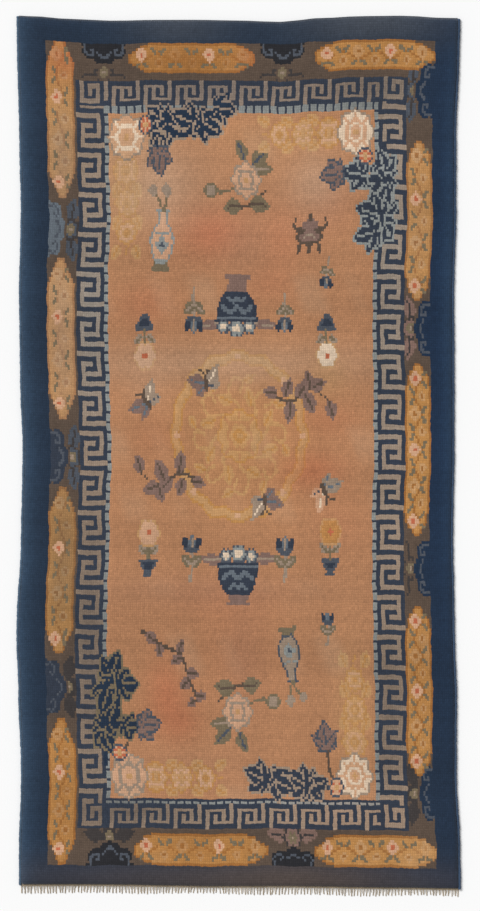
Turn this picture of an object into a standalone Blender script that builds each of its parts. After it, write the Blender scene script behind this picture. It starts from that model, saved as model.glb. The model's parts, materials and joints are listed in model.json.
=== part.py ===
"""A small Ningxia carpet lying flat on the floor.

Two pieces: the carpet itself, one slab of knotted pile on its woven ground, with the uneven outline of
hand work, and the short worn fringe of warp ends along one end.

Metres, +Z up. +Y runs along the carpet away from the fringe and +X across it, seen from above. The origin
is on the floor, in the middle of the box that holds both pieces.
"""

from collections import namedtuple
from math import cos, pi, sin

import bmesh
import bpy
from mathutils import Vector

# The knotted part, between the mean lines of its four edges.
WIDTH = 0.655
LENGTH = 1.303
THICKNESS = 0.009
RIM_HEIGHT = 0.0055
RIM_WIDTH = 0.006
SHOULDER_WIDTH = 0.012
CORNER_RADIUS = 0.007

# The pile's gentle lumps: height of a lump, and how far apart lumps lie.
LUMP_HEIGHT = 0.0006
LUMP_SPACING_X = 0.17
LUMP_SPACING_Y = 0.23
CELL = 0.026

# The fringe lies on the floor past the -Y end.
STRANDS = 140
STRAND_WIDTH = 0.0023
STRAND_THICKNESS = 0.0012
STRAND_LENGTH = 0.0065
STRAND_LENGTH_SPREAD = 0.0025
STRAND_LEAN = 0.0007
WEB_WIDTH = 0.0015
FRINGE_MARGIN = 0.004
GAP = 0.0003

# How far each long edge bulges out from its mean line, at places along the carpet.
SideStation = namedtuple("SideStation", "y left_out right_out")
SIDES = [
    SideStation(-0.65, 0.0010, 0.0075),
    SideStation(-0.60, 0.0012, 0.0068),
    SideStation(-0.48, -0.0021, 0.0013),
    SideStation(-0.36, 0.0021, 0.0016),
    SideStation(-0.27, 0.0050, -0.0016),
    SideStation(-0.12, -0.0021, -0.0041),
    SideStation(0.00, -0.0044, -0.0020),
    SideStation(0.12, -0.0004, -0.0020),
    SideStation(0.24, 0.0010, -0.0026),
    SideStation(0.36, -0.0016, 0.0007),
    SideStation(0.48, 0.0007, 0.0007),
    SideStation(0.60, 0.0038, 0.0055),
    SideStation(0.65, 0.0048, 0.0068),
]

# The same for the two ends, at places across the carpet.
EndStation = namedtuple("EndStation", "x far_out fringe_out")
ENDS = [
    EndStation(-0.33, 0.0048, -0.0020),
    EndStation(-0.30, 0.0035, -0.0021),
    EndStation(-0.24, -0.0009, -0.0023),
    EndStation(-0.18, -0.0033, -0.0020),
    EndStation(-0.12, -0.0021, -0.0008),
    EndStation(-0.06, -0.0020, 0.0002),
    EndStation(0.00, -0.0030, 0.0003),
    EndStation(0.06, -0.0050, 0.0000),
    EndStation(0.12, 0.0007, 0.0007),
    EndStation(0.18, 0.0036, 0.0022),
    EndStation(0.24, 0.0042, 0.0028),
    EndStation(0.30, 0.0008, 0.0038),
    EndStation(0.33, 0.0006, 0.0044),
]


def clear_scene():
    for obj in list(bpy.data.objects):
        bpy.data.objects.remove(obj)


def eased(stations, place, column):
    """The named column of a table, read at a place in its first column with smooth steps between rows."""
    if place <= stations[0][0]:
        return getattr(stations[0], column)
    for before, after in zip(stations, stations[1:]):
        if place <= after[0]:
            share = (place - before[0]) / (after[0] - before[0])
            ease = (1 - cos(pi * share)) / 2
            return getattr(before, column) * (1 - ease) + getattr(after, column) * ease
    return getattr(stations[-1], column)


def left_edge(y):
    return -WIDTH / 2 - eased(SIDES, y, "left_out")


def right_edge(y):
    return WIDTH / 2 + eased(SIDES, y, "right_out")


def far_edge(x):
    return LENGTH / 2 + eased(ENDS, x, "far_out")


def fringe_edge(x):
    return -LENGTH / 2 - eased(ENDS, x, "fringe_out")


def on_carpet(across, along):
    """The floor point at shares -1 to 1 across and along the uneven outline."""
    x = across * WIDTH / 2
    y = along * LENGTH / 2
    low_y, high_y = fringe_edge(x), far_edge(x)
    y = low_y + (high_y - low_y) * (along + 1) / 2
    low_x, high_x = left_edge(y), right_edge(y)
    x = low_x + (high_x - low_x) * (across + 1) / 2
    return x, y


def grid_shares(size):
    """Shares from -1 to 1: a narrow rim and shoulder at each end, and even cells between."""
    rim = 2 * RIM_WIDTH / size
    shoulder = 2 * (RIM_WIDTH + SHOULDER_WIDTH) / size
    cells = round(size / CELL)
    inner = [-1 + shoulder + (2 - 2 * shoulder) * i / cells for i in range(cells + 1)]
    return [-1, -1 + rim] + inner + [1 - rim, 1]


def edge_distance(across, along):
    return min((1 - abs(across)) * WIDTH / 2, (1 - abs(along)) * LENGTH / 2)


def pile_height(across, along, x, y):
    """The height of the pile's tips: low at the rim, full past the shoulder, with gentle lumps."""
    inside = edge_distance(across, along)
    lumps = sin(2 * pi * x / LUMP_SPACING_X + 1.1) * sin(2 * pi * y / LUMP_SPACING_Y + 0.4)
    if inside < RIM_WIDTH / 2:
        return RIM_HEIGHT
    if inside < RIM_WIDTH + SHOULDER_WIDTH / 2:
        return THICKNESS - 2 * LUMP_HEIGHT
    return THICKNESS - LUMP_HEIGHT + LUMP_HEIGHT * lumps


def corner_pull(across, along):
    """How far a corner point is drawn in, so that the outline's corner is round."""
    if abs(across) < 1 or abs(along) < 1:
        return 0
    return CORNER_RADIUS * (1 - 1 / 2**0.5)


def place_grid_point(vert, columns, rows):
    """Takes a point of the plain grid to its place on the carpet's top."""
    column = round((vert.co.x + 1) / 2 * (len(columns) - 1))
    row = round((vert.co.y + 1) / 2 * (len(rows) - 1))
    across, along = columns[column], rows[row]
    x, y = on_carpet(across, along)
    z = pile_height(across, along, x, y)
    pull = corner_pull(across, along)
    vert.co = (x - pull * across, y - pull * along, z)


def close_underneath(bm):
    """Takes the top's rim straight down to the floor and fills the flat back."""
    rim = [edge for edge in bm.edges if edge.is_boundary]
    walls = bmesh.ops.extrude_edge_only(bm, edges=rim)["geom"]
    for item in walls:
        if isinstance(item, bmesh.types.BMVert):
            item.co.z = 0
    foot = [item for item in walls if isinstance(item, bmesh.types.BMEdge) and item.is_boundary]
    bmesh.ops.contextual_create(bm, geom=foot)
    bmesh.ops.recalc_face_normals(bm, faces=bm.faces)


def plain_material(name, colour, roughness):
    material = bpy.data.materials.new(name)
    material.use_nodes = True
    shader = material.node_tree.nodes["Principled BSDF"]
    shader.inputs["Base Color"].default_value = (*colour, 1)
    shader.inputs["Roughness"].default_value = roughness
    shader.inputs["Metallic"].default_value = 0
    return material


def make_carpet(collection):
    """The knotted slab: a grid shaped to the uneven outline, with walls and a flat back."""
    columns = grid_shares(WIDTH)
    rows = grid_shares(LENGTH)
    bm = bmesh.new()
    bmesh.ops.create_grid(bm, x_segments=len(columns) - 1, y_segments=len(rows) - 1, size=1)
    for vert in bm.verts:
        place_grid_point(vert, columns, rows)
    close_underneath(bm)
    mesh = bpy.data.meshes.new("carpet")
    bm.to_mesh(mesh)
    bm.free()
    mesh.shade_smooth()
    mesh.set_sharp_from_angle(angle=pi / 6)
    carpet = bpy.data.objects.new("carpet", mesh)
    collection.objects.link(carpet)
    mesh.materials.append(plain_material("wool_pile", (0.36, 0.20, 0.11), 0.9))
    return carpet


def strand_length(number):
    """A strand's length: the fringe is worn in long uneven runs, and each strand a little otherwise."""
    run = sin(0.13 * number + 0.5) * sin(0.047 * number + 2.0)
    own = sin(2.4 * number) * 0.5
    return STRAND_LENGTH + STRAND_LENGTH_SPREAD * (0.7 * run + 0.6 * own)


def fringe_outline():
    """The comb shape seen from above: the web's inner edge, then every strand on the way back."""
    half = WIDTH / 2 - FRINGE_MARGIN
    inner = [across * WIDTH / 2 for across in grid_shares(WIDTH)]
    inner = [-half] + [x for x in inner if abs(x) < half] + [half]
    points = [(x, fringe_edge(x) - GAP) for x in inner]
    pitch = (2 * half - STRAND_WIDTH) / (STRANDS - 1)
    for number in reversed(range(STRANDS)):
        root = -half + STRAND_WIDTH / 2 + number * pitch
        web = fringe_edge(root) - GAP - WEB_WIDTH
        tip = web - strand_length(number)
        lean = STRAND_LEAN * sin(1.7 * number) + STRAND_LEAN * sin(0.21 * number)
        for side in (1, -1):
            edge = side * STRAND_WIDTH / 2
            ends = [(root + edge, web), (root + edge * 0.75 + lean, tip)]
            points += ends if side == 1 else ends[::-1]
    return points


def make_fringe(collection):
    """The warp ends on the floor: one flat comb, its strands fused only in the narrow web at their roots."""
    outline = fringe_outline()
    curve = bpy.data.curves.new("fringe", "CURVE")
    curve.dimensions = "2D"
    curve.fill_mode = "BOTH"
    curve.extrude = STRAND_THICKNESS / 2
    spline = curve.splines.new("POLY")
    spline.points.add(len(outline) - 1)
    for point, (x, y) in zip(spline.points, outline):
        point.co = (x, y, 0, 1)
    spline.use_cyclic_u = True
    fringe = bpy.data.objects.new("fringe", curve)
    fringe.location.z = STRAND_THICKNESS / 2
    collection.objects.link(fringe)
    curve.materials.append(plain_material("cotton_warp", (0.62, 0.52, 0.40), 0.85))
    return fringe


def centre_over_origin(objects):
    """Moves the pieces together so that the middle of their common box is over the origin."""
    bpy.context.view_layer.update()
    corners = [obj.matrix_world @ Vector(corner) for obj in objects for corner in obj.bound_box]
    middle_x = (min(c.x for c in corners) + max(c.x for c in corners)) / 2
    middle_y = (min(c.y for c in corners) + max(c.y for c in corners)) / 2
    for obj in objects:
        obj.location.x -= middle_x
        obj.location.y -= middle_y


def main():
    clear_scene()
    collection = bpy.data.collections.new("ningxia_carpet")
    bpy.context.scene.collection.children.link(collection)
    pieces = [make_carpet(collection), make_fringe(collection)]
    centre_over_origin(pieces)


main()
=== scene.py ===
"""The looks of a small Ningxia carpet lying flat.

The knotted pile has the pattern knot by knot, and the woven ground has it on the back. Round them are the
overcast selvedges, the woven ends and the short worn fringe.

Sizes are in metres unless a name says otherwise. The pattern is charted in knots, counted from the middle
of the carpet, with x to the right and y away from the fringe.
"""

import json
from collections import namedtuple
from math import cos, pi, radians, sin

import bmesh
import bpy
import numpy as np
from mathutils import Euler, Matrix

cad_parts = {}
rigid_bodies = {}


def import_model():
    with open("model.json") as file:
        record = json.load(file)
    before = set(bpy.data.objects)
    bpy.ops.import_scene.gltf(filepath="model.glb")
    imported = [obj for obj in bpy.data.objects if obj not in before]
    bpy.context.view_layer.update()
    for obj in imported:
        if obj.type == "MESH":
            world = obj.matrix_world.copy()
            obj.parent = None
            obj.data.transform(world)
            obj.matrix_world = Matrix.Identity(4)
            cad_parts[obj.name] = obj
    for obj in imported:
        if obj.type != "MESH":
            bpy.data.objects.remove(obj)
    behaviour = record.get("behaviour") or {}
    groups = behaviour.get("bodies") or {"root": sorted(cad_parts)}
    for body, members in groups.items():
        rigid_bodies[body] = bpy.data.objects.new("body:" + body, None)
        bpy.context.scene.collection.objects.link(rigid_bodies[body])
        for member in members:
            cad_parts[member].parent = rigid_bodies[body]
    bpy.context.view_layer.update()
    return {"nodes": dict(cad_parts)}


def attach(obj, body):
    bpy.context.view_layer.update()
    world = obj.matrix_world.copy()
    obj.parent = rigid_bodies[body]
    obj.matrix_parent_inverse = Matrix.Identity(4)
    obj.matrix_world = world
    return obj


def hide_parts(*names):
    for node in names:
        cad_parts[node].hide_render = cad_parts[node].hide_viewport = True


SEED = 7

# The weave: knots across and rows of knots along the carpet.
COLUMNS = 218
ROWS = 348

# Heights above the floor, and the widths of what edges the pile.
BACK_Z = 0.0003
GROUND_TOP_Z = 0.0027
PILE_BASE_Z = 0.0030
PILE_TOP_Z = 0.0087
PILE_EDGE_DROP = 0.0032
PILE_EDGE_WIDTH = 0.009
SELVEDGE_RADIUS = 0.0025
SELVEDGE_INSET = 0.0044
FAR_WEB_WIDTH = 0.0024
NEAR_WEB_WIDTH = 0.0032
GROUND_TUCK = 0.0004

# Relief of the pile: soft lumps, the height of single knots, and the groove along each change of wool.
LUMP_HEIGHT = 0.0004
KNOT_HEIGHT = 0.00022
GROOVE_DEPTH = 0.00045
LINE_DRIFT = 0.0011
KNOT_DRIFT = 0.00034

# How the sheets are laid out: rounded corners, the margin in which the lines of knots straighten, rings of
# points down the pile's walls, the ground's inset and the strip that the walls take in the flat layout.
CORNER_RADIUS = 0.003
DRIFT_MARGIN = 0.02
PILE_LEVELS = 2
GROUND_INSET = 0.0025
WALL_STRIP = 0.004
FLOOR_TOLERANCE = 1e-4

# The overcast long edges: each turn of yarn, and the steps and sides that model it.
WRAP_PITCH = 0.0026
WRAP_STEPS = 4
WRAP_SIDES = 8
WRAP_DEPTH = 0.16
WRAP_SLANT = 0.9
WRAP_DRIFT = 0.0003
WRAP_SPREAD = 0.05
WRAP_ROUNDNESS = 1.2
SELVEDGE_END = 0.0015
SELVEDGE_END_WIDTH = 0.45

# The woven ends.
WEB_RIBS = 2
WEB_SIDES = 6
WEB_HEIGHT = 0.0020
WEB_WAVE = 0.0002
WEB_OVERLAP = 1.15

# The fringe, strand by strand as the solid has it.
STRANDS = 140
FRINGE_MARGIN = 0.0045
STRAND_ROOT = 0.0012
STRAND_LENGTH = 0.0100
STRAND_LENGTH_SPREAD = 0.0025
STRAND_LEAN = 0.0007
PLY_RADIUS = 0.00048
PLY_TWIST = 0.0032
PLY_STEPS = 7
PLY_SIDES = 5
PLY_OFFSET = 0.9
PLY_FRAY = 0.5
PLY_LIFT = 1.02
OWN_LEAN = 0.6
YARN_WIDTHS = (0.85, 1.1)
FINE_STRAND = 0.6
FINE_LENGTHS = (0.35, 0.85)
FEWEST_STEPS = 6
TIP_START = 0.93
TIP_WIDTH = 0.6
TIP_LIFT = 1.1

# The view from straight above: the camera's place, and the length of floor that the picture's height shows.
CAMERA_X = 0.0021
CAMERA_Y = 0.0002
CAMERA_Z = 4.0
VIEW_LENGTH = 1.3665
SENSOR = 36
CAMERA_REACH = 50

# The floor and the light, from the upper left.
FLOOR_SIZE = 80.0
SUN_STRENGTH = 2.6
SUN_SOFTNESS = 30
SUN_TILT_X = -30
SUN_TILT_Y = -35
WORLD_STRENGTH = 0.45
WHITE = (1, 1, 1, 1)

# Smooth unevenness as sums of waves: the waves' lengths, in knots for the dye and in metres for the shape,
# and where each begins.
Waves = namedtuple("Waves", "lengths phases")
WAVE_GAIN = 1.4
STREAKS_ALONG = Waves((61, 23, 9.7, 4.3), (0.3, 1.9, 4.0, 2.2))
STREAKS_SLANTED = Waves((140, 37), (2.0, 5.1))
STREAKS_ACROSS = Waves((90, 31), (0.8, 3.0))
WEAR_SLANTED = Waves((57, 23), (1.0, 4.4))
WEAR_ALONG = Waves((71, 29), (2.2, 0.4))
DRIFT_ACROSS = Waves((0.31, 0.12, 0.047), (0.5, 2.0, 4.4))
DRIFT_ALONG = Waves((0.42, 0.17, 0.06), (1.5, 0.2, 3.0))
LUMPS_SLANTED = Waves((0.21, 0.083, 0.031), (0.2, 1.1, 2.7))
LUMPS_ALONG = Waves((0.33, 0.11, 0.043), (2.1, 0.4, 5.0))
LOOSE_WRAPS = (0.09, 0.034, 0.013)

# How far waves slant: what the other way's place adds to a wave.
STREAK_SLANT = 0.12
WEAR_SLANT = (0.9, 0.4)
LUMP_SLANT = 0.3

# How strongly the dye changes: along the rows in two ways, across them, from knot to knot, and where worn.
STREAK_ALONG = 0.055
STREAK_SLANTED = 0.05
STREAK_ACROSS = 0.03
KNOT_SPREAD = 0.05
WEAR = 0.12
WORN_WOOL = (206, 180, 150)
DARKEST = 0.002
LIGHTEST = 0.95

# The patterns that lighten and darken the wool: each one's low and high ends, and the tones there.
GRAIN_ENDS = (0.3, 0.7)
# Painted shade: the pile darker in the gaps between tufts, a little lighter on their tops.
TUFT_GAP_PAINTED_SHADE = (0, 0.7, 0.86, 1.03)
# Painted shade: the back darker round the edge of each bead and over the weft between them.
BEAD_EDGE_PAINTED_SHADE = (0, 0.6, 0.72, 1.02)
PILE_FIBRE_TONE = (*GRAIN_ENDS, 0.86, 1.12)
BACK_FIBRE_TONE = (*GRAIN_ENDS, 0.88, 1.1)
YARN_FIBRE_TONE = (*GRAIN_ENDS, 0.85, 1.12)

# Their relief: the height of the bumps in metres, and how strongly they show.
TUFT_BUMP = (0.0004, 0.7)
BEAD_BUMP = (0.0006, 0.8)
PILE_FIBRE_BUMP = (0.0005, 0.6)
BACK_FIBRE_BUMP = (0.0002, 0.5)
YARN_FIBRE_BUMP = (0.0003, 0.6)

# Where the weft shows between the rows: from fully, at the low end, to not at all at the high end.
WEFT_EDGE = (0.12, 0.4, 1, 0)
WEFT_COTTON = (186, 168, 140)

# Fine grain of the yarns, as bumps to the metre.
PILE_FIBRES = 1400
BACK_FIBRES = 1800
YARN_STREAKS = 60
SELVEDGE_FIBRES = 900
COTTON_FIBRES = 1200

# Dyed wools, as red, green and blue from 0 to 255.
WOOLS = {
    "indigo": (34, 48, 66),
    "deep_blue": (22, 44, 72),
    "denim": (66, 92, 118),
    "navy": (50, 57, 70),
    "slate": (76, 81, 90),
    "blue": (98, 106, 114),
    "pale_blue": (138, 141, 138),
    "soot": (38, 38, 42),
    "umber": (62, 57, 56),
    "brown": (90, 75, 64),
    "mauve": (128, 102, 92),
    "apricot": (177, 126, 90),
    "rust": (182, 100, 70),
    "gold": (188, 144, 98),
    "honey": (182, 131, 75),
    "ochre": (154, 102, 52),
    "olive": (118, 104, 82),
    "camel": (152, 132, 114),
    "peach": (200, 156, 124),
    "cream": (218, 194, 168),
}
NUMBER = {name: number for number, name in enumerate(WOOLS)}

# The nested bands of the border, from the edge inwards, in knots on each side.
Band = namedtuple("Band", "left right far near")
OUTER = Band(13, 11, 9, 8)
MAIN = Band(15, 13, 15, 15)
FRET = Band(14, 14, 10, 10)
PEARLS = Band(2, 2, 3, 2)

# One repeat of the fret: a hook from the outer line locked with a hook from the inner line.
FRET_REPEAT = [
    "#######.",
    "#.....#.",
    "#.#.#.#.",
    "#.#.#.#.",
    "#.#.###.",
    "#.#.....",
    "#.######",
]
FRET_CORNER = [
    "#######",
    "#.....#",
    "#.###.#",
    "#.#.#.#",
    "#.#.#.#",
    "#.#...#",
    "#.#####",
]
FRET_LINES = len(FRET_REPEAT)
FRET_CELL = 2
FRET_SIDE_LINES = [2, 2, 2, 2, 2, 2, 2]
FRET_END_LINES = [2, 1, 1, 2, 1, 1, 2]
FRET_LINE_WIDTHS = {
    "left": FRET_SIDE_LINES,
    "right": FRET_SIDE_LINES,
    "far": FRET_END_LINES,
    "near": FRET_END_LINES,
}

# A pearl and the line after it, in knots.
PEARL_STEP = 4

# The golden panels of the main border: where each begins and ends along its side.
Panel = namedtuple("Panel", "side start end")
PANELS = [
    Panel("far", -55, 8.5),
    Panel("far", 37.5, 98),
    Panel("right", 60.5, 125.5),
    Panel("right", -33.5, 36.5),
    Panel("right", -129.5, -60.5),
    Panel("near", -53.5, 14),
    Panel("near", 37, 99),
    Panel("left", 102, 166.5),
    Panel("left", 13, 78),
    Panel("left", -81.5, -14),
    Panel("left", -166, -107),
]

# A panel's bracket-shaped ends: the share of its full width within so many knots of its end.
PANEL_END_STEPS = {2: 0.30, 4: 0.46, 6: 0.62, 8: 0.80, 10: 0.92}

# How far the vine in a panel runs from crest to crest, and how far from the panel's end it stops.
VINE_STEP = 8
VINE_MARGIN = 6.5

# The gaps between the panels: the place along the side, how far in the cloud head reaches, its wool and the
# blossom's wool.
Gap = namedtuple("Gap", "side place reach cloud blossom")
GAPS = [
    Gap("far", -67, 6, "soot", "brown"),
    Gap("far", 22, 6, "soot", "brown"),
    Gap("right", 145, 7, "indigo", "slate"),
    Gap("right", 50, 5, "indigo", "mauve"),
    Gap("right", -46, 5, "indigo", "brown"),
    Gap("right", -136, 4.5, "indigo", "umber"),
    Gap("near", -65, 7.5, "soot", "umber"),
    Gap("near", 26.5, 5, "soot", "mauve"),
    Gap("left", 89.5, 6, "blue", "slate"),
    Gap("left", -2, 7, "navy", "slate"),
    Gap("left", -94.5, 8, "navy", "umber"),
]

# The central round: its reach from the middle in knots, and the scrolls in its ring.
MEDALLION_REACH = 40
MEDALLION_SCROLLS = 8

# One stalk of peony leaves: each leaf's turn in degrees, and its length and half width in knots.
LEAF_FAN = [(118, 7, 2.6), (-118, 7, 2.6), (60, 9.5, 3.2), (-60, 9.5, 3.2), (0, 11.5, 3.6)]

# The sprays at the field's corners: the leaves' wool and their edge's, the small spray's place, the peony's
# petals and inner ring, and the stalks of leaves. Places are in knots from the corner, along its two edges.
Spray = namedtuple("Spray", "leaf edge bud petal inner stalks")
Stalk = namedtuple("Stalk", "along out lean size")
SPRAY_REACH = 66
SPRAYS = {
    "far left": Spray("indigo", "camel", (25, -17), "peach", "cream", [
        Stalk(26, -3, 200, 0.80),
        Stalk(30, -4, -30, 0.95),
        Stalk(42, -4, 160, 0.90),
        Stalk(48, -4, -25, 0.85),
        Stalk(56, 2, -10, 0.75),
        Stalk(25, -10, -85, 0.50),
    ]),
    "far right": Spray("navy", "pale_blue", (25, -19), "cream", "peach", [
        Stalk(25, 5, 200, 0.80),
        Stalk(29, 4, -30, 0.95),
        Stalk(40, 3, 160, 0.90),
        Stalk(46, 4, -20, 0.85),
        Stalk(26, -7, -100, 0.80),
        Stalk(42, 1, -105, 0.95),
        Stalk(49, -1, -75, 0.85),
    ]),
    "near right": Spray("navy", "camel", (23, -23), "cream", "peach", [
        Stalk(31, -5, 200, 0.75),
        Stalk(35, -6, -30, 0.85),
        Stalk(49, -7, 160, 0.85),
        Stalk(56, -8, -25, 0.80),
    ]),
    "near left": Spray("indigo", "olive", (29, -18), "peach", "camel", [
        Stalk(27, 2, 200, 0.80),
        Stalk(31, 0, -30, 0.95),
        Stalk(44, 0, 160, 0.90),
        Stalk(50, -2, -25, 0.85),
        Stalk(46, -7, -90, 0.75),
        Stalk(29, -9, -95, 0.60),
    ]),
}

# The small motifs of the field: middle in knots, turn in degrees, and their sizes or wools.
Bud = namedtuple("Bud", "x y turn size")
BUDS = [
    Bud(-21.5, 54, 180, 1),
    Bud(24.5, 54, 180, 0.85),
    Bud(-23, -39, 0, 1),
    Bud(24.5, -39.5, 0, 1),
    Bud(45.5, 70, 170, 0.7),
    Bud(46, -68, 0, 0.7),
]
Bowl = namedtuple("Bowl", "x y turn fruit radius")
BOWLS = [
    Bowl(-46.5, 52, 180, "peach", 6.0),
    Bowl(45.8, 52, 180, "cream", 5.8),
    Bowl(-45, -45.2, 0, "peach", 6.0),
    Bowl(47.5, -44.5, 0, "honey", 6.0),
]
Butterfly = namedtuple("Butterfly", "x y turn near_wing far_wing")
BUTTERFLY_SIZE = 0.75
BUTTERFLIES = [
    Butterfly(-16, 28, 10, "mauve", "camel"),
    Butterfly(14, -19, 190, "mauve", "camel"),
    Butterfly(-46, 20, 35, "mauve", "camel"),
    Butterfly(44, -14.5, 215, "camel", "peach"),
]

# Two bent twigs: the points of the stem, and for each leaf its root, its lean in degrees and its size.
TWIG_REACH = 36
TWIG = [(-16, 0), (-6, -3), (4, 2), (16, -5)]
TWIG_LEAVES = [
    (-13, 0, 170, 0.9), (-9, -1, 70, 1.0), (-6, -3, -100, 1.1), (-3, -2, 50, 1.2),
    (1, 0, -60, 1.2), (4, 2, 20, 1.0), (4, 2, 110, 0.9), (13, -3, -70, 1.0),
]
LONG_TWIG = [(-17, 13), (-8, 8), (2, 4), (6, -6), (10, -15)]
LONG_TWIG_LEAVES = [
    (-10, 9, 150, 0.8), (-8, 8, -100, 0.7), (1, 5, 60, 0.7), (3, 3, 200, 0.8),
    (5, -3, -10, 0.8), (6, -6, 220, 0.8), (9, -13, 10, 0.7), (9, -14, 215, 0.6),
]

# Soft patches where another dye lot or wear changed the wool, in knots: middle, half sizes and strength.
Patch = namedtuple("Patch", "x y half_x half_y wool strength")
FIELD_PATCHES = [
    Patch(-14, 89, 18, 11, "rust", 0.58),
    Patch(22, 88, 12, 14, "rust", 0.30),
    Patch(46, 99, 13, 12, "rust", 0.20),
    Patch(-46, 60, 14, 9, "rust", 0.28),
    Patch(16, 68, 14, 8, "rust", 0.20),
    Patch(36, -7, 16, 8, "rust", 0.50),
    Patch(44, 13, 16, 7, "rust", 0.24),
    Patch(-42, 6, 12, 9, "rust", 0.16),
    Patch(-36, -97, 10, 14, "rust", 0.45),
    Patch(-28, -108, 10, 8, "rust", 0.36),
    Patch(0, -78, 20, 24, "rust", 0.14),
    Patch(52, -28, 16, 12, "rust", 0.12),
    Patch(-10, -58, 30, 9, "rust", 0.12),
    Patch(2, 8, 32, 30, "honey", 0.32),
    Patch(0, 100, 60, 30, "peach", 0.10),
    Patch(-44, 108, 22, 16, "cream", 0.28),
    Patch(40, 108, 14, 12, "cream", 0.24),
    Patch(-4, 36, 90, 8, "cream", 0.18),
    Patch(2, 33, 12, 6, "peach", 0.30),
    Patch(46, 31, 9, 8, "gold", 0.45),
    Patch(-46, 28, 10, 9, "peach", 0.25),
    Patch(3, 84, 12, 12, "mauve", 0.15),
    Patch(-16, -55, 60, 7, "mauve", 0.17),
    Patch(3, -85, 10, 24, "mauve", 0.15),
    Patch(-58, 110, 9, 26, "gold", 0.45),
    Patch(20, 128, 30, 8, "gold", 0.20),
    Patch(-26, -128, 36, 10, "mauve", 0.12),
    Patch(58, -105, 9, 26, "gold", 0.45),
]
PANEL_PATCHES = [
    Patch(-88, 118, 9, 26, "camel", 0.50),
    Patch(-88, 44, 9, 40, "peach", 0.28),
    Patch(-88, 44, 9, 40, "camel", 0.38),
    Patch(-88, -44, 9, 36, "olive", 0.42),
    Patch(-88, -40, 9, 24, "brown", 0.24),
    Patch(-88, -134, 9, 34, "ochre", 0.45),
    Patch(91, 94, 9, 34, "camel", 0.20),
    Patch(91, -86, 9, 30, "ochre", 0.25),
    Patch(93, -160, 9, 9, "gold", 0.50),
    Patch(-86, 158, 12, 8, "rust", 0.50),
    Patch(8, 158, 9, 9, "rust", 0.45),
    Patch(-26, 158, 34, 9, "ochre", 0.80),
    Patch(66, 158, 34, 9, "ochre", 0.25),
    Patch(-20, -159, 44, 9, "ochre", 0.45),
    Patch(76, -159, 20, 9, "gold", 0.10),
]
BAND_PATCHES = [
    Patch(-109, 0, 6, 400, "denim", 0.34),
    Patch(106, 40, 16, 150, "deep_blue", 0.80),
    Patch(109, 60, 5, 110, "denim", 0.30),
    Patch(-30, 172, 26, 9, "slate", 0.55),
    Patch(66, 172, 36, 9, "slate", 0.75),
    Patch(0, -172, 110, 9, "brown", 0.50),
    Patch(30, -172, 40, 9, "brown", 0.45),
]
FRET_PATCHES = [
    Patch(-10, 146, 70, 8, "slate", 0.40),
    Patch(70, 146, 24, 10, "umber", 0.40),
    Patch(-74, 140, 9, 20, "umber", 0.26),
    Patch(-74, 56, 9, 40, "pale_blue", 0.45),
    Patch(-74, -76, 9, 66, "umber", 0.50),
    Patch(-60, -144, 34, 7, "umber", 0.50),
    Patch(77, 70, 9, 70, "pale_blue", 0.30),
    Patch(77, -104, 9, 34, "umber", 0.40),
    Patch(50, -144, 34, 8, "peach", 0.20),
]


def clear_scene():
    for obj in list(bpy.data.objects):
        bpy.data.objects.remove(obj)


# The chart


class Chart:
    """The weaver's chart: one wool for each knot, placed in knots from the carpet's middle."""

    def __init__(self):
        across = np.arange(COLUMNS) + 0.5 - COLUMNS / 2
        along = np.arange(ROWS) + 0.5 - ROWS / 2
        self.x, self.y = np.meshgrid(across, along)
        self.wool = np.full(self.x.shape, NUMBER["indigo"])

    def paint(self, where, wool):
        self.wool[where] = NUMBER[wool]

    def inside(self, box):
        """Where the chart lies within a box of left, right, near and far limits."""
        left, right, near, far = box
        return (self.x > left) & (self.x < right) & (self.y > near) & (self.y < far)

    def paint_box(self, box, wool):
        self.paint(self.inside(box), wool)

    def has(self, *names):
        """Where the chart has one of the named wools."""
        return np.isin(self.wool, [NUMBER[name] for name in names])


def box_inside(bands):
    """The left, right, near and far limits of what lies inside the given bands."""
    left = -COLUMNS / 2 + sum(band.left for band in bands)
    right = COLUMNS / 2 - sum(band.right for band in bands)
    near = -ROWS / 2 + sum(band.near for band in bands)
    far = ROWS / 2 - sum(band.far for band in bands)
    return left, right, near, far


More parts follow.
